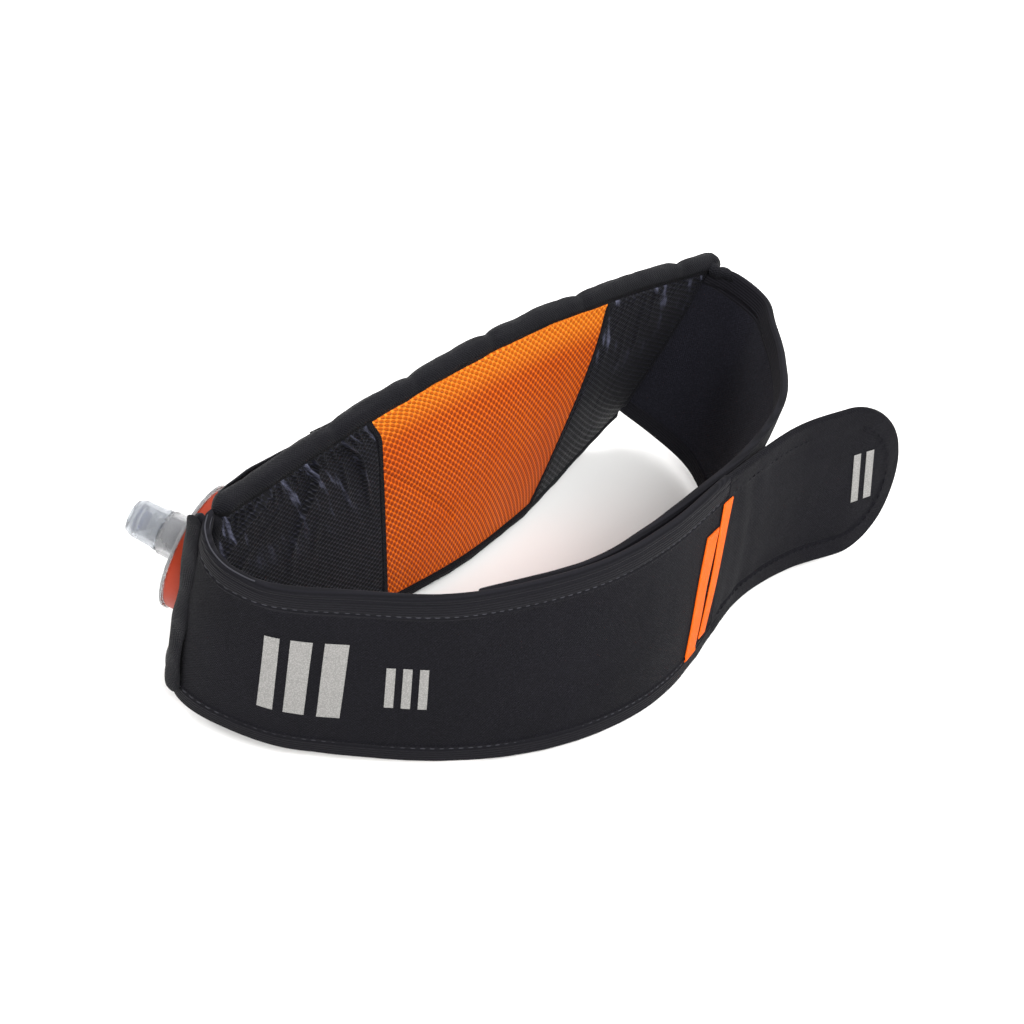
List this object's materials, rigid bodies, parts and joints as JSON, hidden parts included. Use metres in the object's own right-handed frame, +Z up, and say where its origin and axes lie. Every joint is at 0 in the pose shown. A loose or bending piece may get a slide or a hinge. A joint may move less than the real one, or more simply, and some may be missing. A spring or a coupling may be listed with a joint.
{
  "type": "running waist pack",
  "caption": "Running waist pack with a mesh-backed zip bag, a soft flask in a side sleeve and overlapping wings closed by a hook-and-loop tab.",
  "frame": {"origin": "centre of the bounding box at floor level, with the pack standing on its lower edges", "axes": "+Z up, +X along the back panel from the flask cap towards the closure tab, -Y towards the overlapping wings"},
  "size_m": [0.3238, 0.1632, 0.1025],
  "materials": {
    "neoprene": "matte fabric-faced foam",
    "navy_mesh": "satin knit",
    "orange_mesh": "air mesh",
    "foam": "closed-cell foam",
    "dark_fabric": "stretch woven",
    "loop": "loop pile",
    "hook": "hook tape",
    "ribbon": "elastic ribbon",
    "print": "reflective transfer",
    "zip_plastic": "moulded",
    "zip_metal": "black enamel",
    "film": "soft clear film",
    "clear_plastic": "translucent",
    "cap_orange": "moulded",
    "silicone": "translucent silicone",
    "blue": "moulded",
    "slate": "moulded"
  },
  "bodies": {
    "pack": {"back_foam": "foam", "center_mesh": "orange_mesh", "side_mesh_left": "navy_mesh", "side_mesh_right": "navy_mesh", "seam_tapes": "dark_fabric", "top_binding": "dark_fabric", "bottom_binding": "dark_fabric", "outer_shell": "dark_fabric", "sleeve_wall": "dark_fabric", "sleeve_mouth_binding": "dark_fabric", "sleeve_hood": "dark_fabric", "end_gusset": "dark_fabric", "zip_tape_upper": "dark_fabric", "zip_tape_lower": "dark_fabric", "zip_teeth_upper": "zip_plastic", "zip_teeth_lower": "zip_plastic", "zip_stops": "zip_plastic", "left_wing_root": "neoprene", "right_wing_root": "neoprene", "print_large": "print"},
    "left_wing": {"left_wing_panel": "neoprene", "left_wing_top_hem": "neoprene", "left_wing_bottom_hem": "neoprene", "ribbon_left": "ribbon", "ribbon_right": "ribbon", "print_small": "print"},
    "tab": {"tab_panel": "neoprene", "tab_border": "neoprene", "tab_hook_patch": "hook", "tab_print": "print"},
    "right_wing": {"right_wing_panel": "neoprene", "right_wing_top_hem": "neoprene", "right_wing_bottom_hem": "neoprene", "right_loop_patch": "loop"},
    "zip_slider": {"zip_slider": "zip_metal"},
    "zip_pull": {"zip_pull": "zip_plastic"},
    "flask": {"flask_pouch": "film", "flask_collar": "clear_plastic"},
    "gasket": {"cap_gasket": "silicone"},
    "cap": {"cap_ring": "cap_orange", "cap_flange": "clear_plastic", "valve_base": "clear_plastic", "valve_seat": "slate", "valve_core": "blue"},
    "valve": {"valve_mouthpiece": "silicone", "valve_tip_ring": "blue"}
  },
  "joints": [
    {"name": "left_wing_swing", "type": "hinge", "parent": "pack", "child": "left_wing", "pos_m": [-0.12763, -0.0246, 0.0406], "axis": [0, 0, 1], "range_deg": [-100, 0]},
    {"name": "tab_flex", "type": "hinge", "parent": "left_wing", "child": "tab", "pos_m": [0.03937, -0.0736, 0.0006], "axis": [0.0126, 0.1644, 0.9863], "range_deg": [-60, 0]},
    {"name": "right_wing_swing", "type": "hinge", "parent": "pack", "child": "right_wing", "pos_m": [0.12137, 0.0054, 0.0056], "axis": [0.3671, -0.0245, 0.9299], "range_deg": [-14, 0]},
    {"name": "zip_slide", "type": "slide", "parent": "pack", "child": "zip_slider", "axis": [1, 0, 0], "range_m": [0, 0.126]},
    {"name": "pull_flip", "type": "hinge", "parent": "zip_slider", "child": "zip_pull", "pos_m": [-0.07063, 0.05603, 0.07587], "axis": [0, 0.6561, -0.7547], "range_deg": [-150, 0]},
    {"name": "flask_slide", "type": "slide", "parent": "pack", "child": "flask", "axis": [-1, 0, 0], "range_m": [0, 0.2]},
    {"name": "cap_lift", "type": "slide", "parent": "flask", "child": "gasket", "axis": [-0.292, 0.9539, 0.07], "range_m": [0, 0.006]},
    {"name": "cap_turn", "type": "hinge", "parent": "gasket", "child": "cap", "pos_m": [-0.13013, 0.0546, 0.0506], "axis": [-0.292, 0.9539, 0.07], "range_deg": [0, 540]},
    {"name": "valve_pull", "type": "slide", "parent": "cap", "child": "valve", "axis": [-0.292, 0.9539, 0.07], "range_m": [0, 0.004]}
  ],
  "couplings": [
    {"joint": "cap_turn", "follows": "cap_lift", "rad_per_m": 1570}
  ]
}
